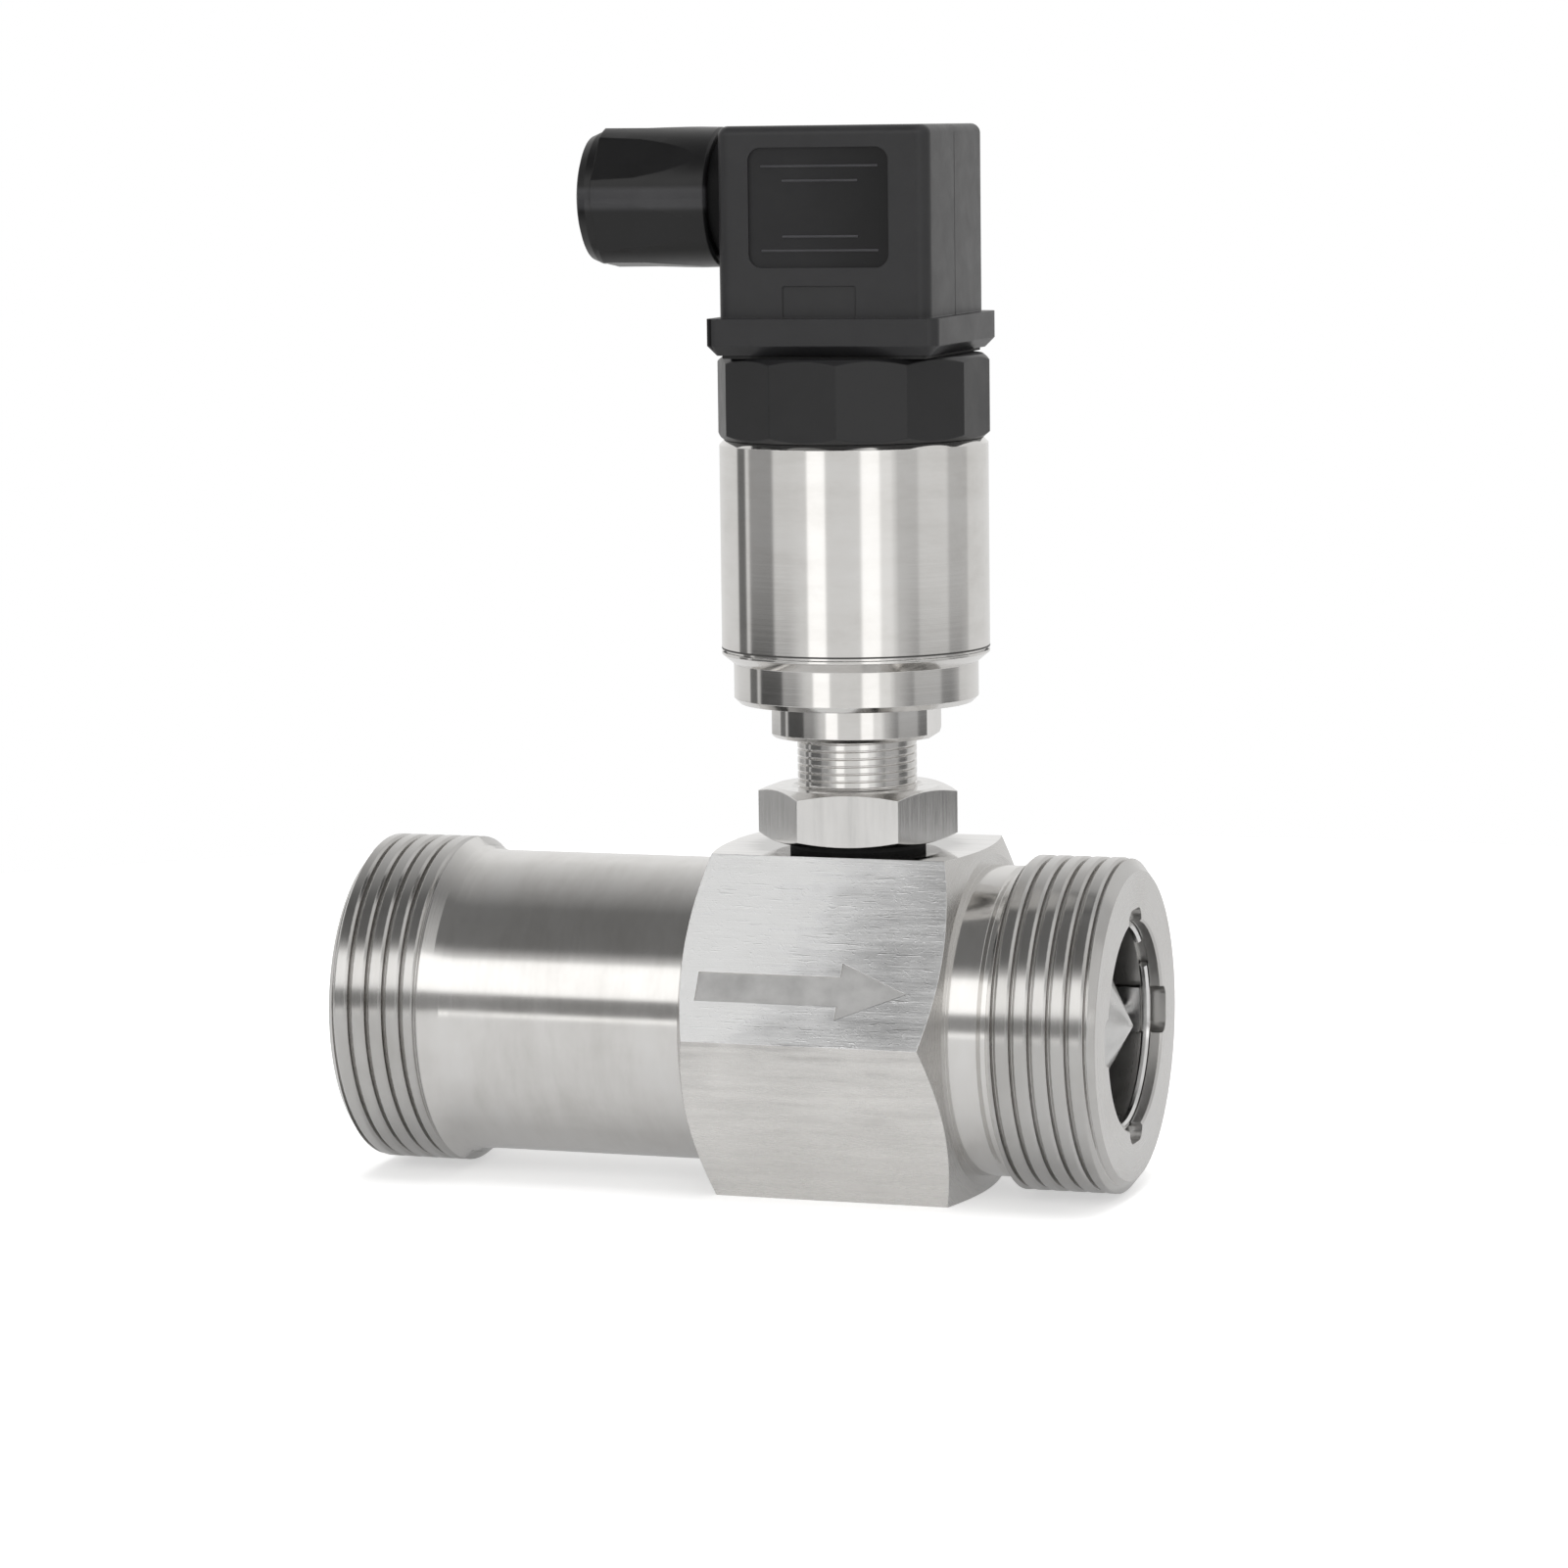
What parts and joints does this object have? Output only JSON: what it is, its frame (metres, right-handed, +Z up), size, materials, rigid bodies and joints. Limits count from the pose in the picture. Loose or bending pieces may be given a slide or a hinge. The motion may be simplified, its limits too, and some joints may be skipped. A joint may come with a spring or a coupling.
{
  "type": "turbine flow meter",
  "caption": "Threaded turbine flow meter: a steel pipe body with a bladed rotor between vaned flow guides and a screwed-in magnetic pickup with a square cable plug.",
  "frame": {"origin": "centre of the hexagon's lowest flat, straight under the pickup's axis", "axes": "+X along the pipe towards the outlet, the way the liquid flows; +Z up, the way the pickup stands; -Y the side with the flow arrow"},
  "size_m": [0.1, 0.0496, 0.1324],
  "materials": {
    "stainless_steel": "turned and polished",
    "spring_steel": "bright drawn wire",
    "hard_metal": "ground",
    "magnetic_steel": "machined",
    "bearing_plastic": "matt",
    "black_rubber": "matt",
    "copper_wire": "enamelled",
    "plated_magnet": "nickel plated",
    "board_green": "lacquered",
    "component_black": "matt",
    "connector_black": "fine satin",
    "tinned_brass": "tinned",
    "screw_steel": "zinc plated"
  },
  "bodies": {
    "pipe_body": {"meter_body": "stainless_steel", "inlet_flow_guide": "stainless_steel", "outlet_flow_guide": "stainless_steel", "inlet_retaining_ring": "spring_steel", "outlet_retaining_ring": "spring_steel", "inlet_bearing_bush": "bearing_plastic", "outlet_bearing_bush": "bearing_plastic", "inlet_thrust_pad": "hard_metal", "outlet_thrust_pad": "hard_metal", "neck_gasket": "black_rubber"},
    "turbine": {"rotor": "magnetic_steel", "rotor_shaft": "hard_metal"},
    "locking_nut": {"lock_nut": "stainless_steel"},
    "pickup": {"pickup_stem": "stainless_steel", "pickup_housing": "stainless_steel", "coil_bobbin": "bearing_plastic", "pickup_coil": "copper_wire", "pole_piece": "magnetic_steel", "bias_magnet": "plated_magnet", "amplifier_board": "board_green", "board_components": "component_black", "connector_base": "connector_black", "base_seal": "black_rubber", "contact_pins": "tinned_brass"},
    "cable_plug": {"plug_housing": "connector_black", "plug_gasket": "black_rubber", "plug_insert": "connector_black", "plug_contacts": "tinned_brass", "terminal_screws": "screw_steel", "screw_seal": "black_rubber", "gland_grommet": "black_rubber"},
    "plug_screw": {"fixing_screw": "screw_steel"},
    "gland_slider": {"gland_washer": "connector_black"},
    "gland_cap": {"gland_nut": "connector_black"}
  },
  "joints": [
    {"name": "rotor_spin", "type": "hinge", "parent": "pipe_body", "child": "turbine", "pos_m": [0, 0, 0.0215], "axis": [1, 0, 0], "continuous": true},
    {"name": "pickup_turn", "type": "hinge", "parent": "pipe_body", "child": "pickup", "pos_m": [0, 0, 0.0215], "axis": [0, 0, 1], "range_deg": [-180, 180]},
    {"name": "lock_nut_travel", "type": "slide", "parent": "pipe_body", "child": "locking_nut", "axis": [0, 0, 1], "range_m": [0, 0.006]},
    {"name": "plug_pull", "type": "slide", "parent": "pickup", "child": "cable_plug", "axis": [0, 0, 1], "range_m": [0, 0.02]},
    {"name": "plug_screw_turn", "type": "hinge", "parent": "cable_plug", "child": "plug_screw", "pos_m": [0, 0, 0.1315], "axis": [0, 0, 1], "continuous": true},
    {"name": "gland_travel", "type": "slide", "parent": "cable_plug", "child": "gland_slider", "axis": [-0.9994, -0.0349, 0], "range_m": [0, 0.009]},
    {"name": "gland_nut_turn", "type": "hinge", "parent": "gland_slider", "child": "gland_cap", "pos_m": [0, 0, 0.1237], "axis": [-0.9994, -0.0349, 0], "range_deg": [0, 2152]}
  ],
  "couplings": [
    {"joint": "gland_travel", "follows": "gland_nut_turn", "m_per_rad": 0.00023873}
  ]
}
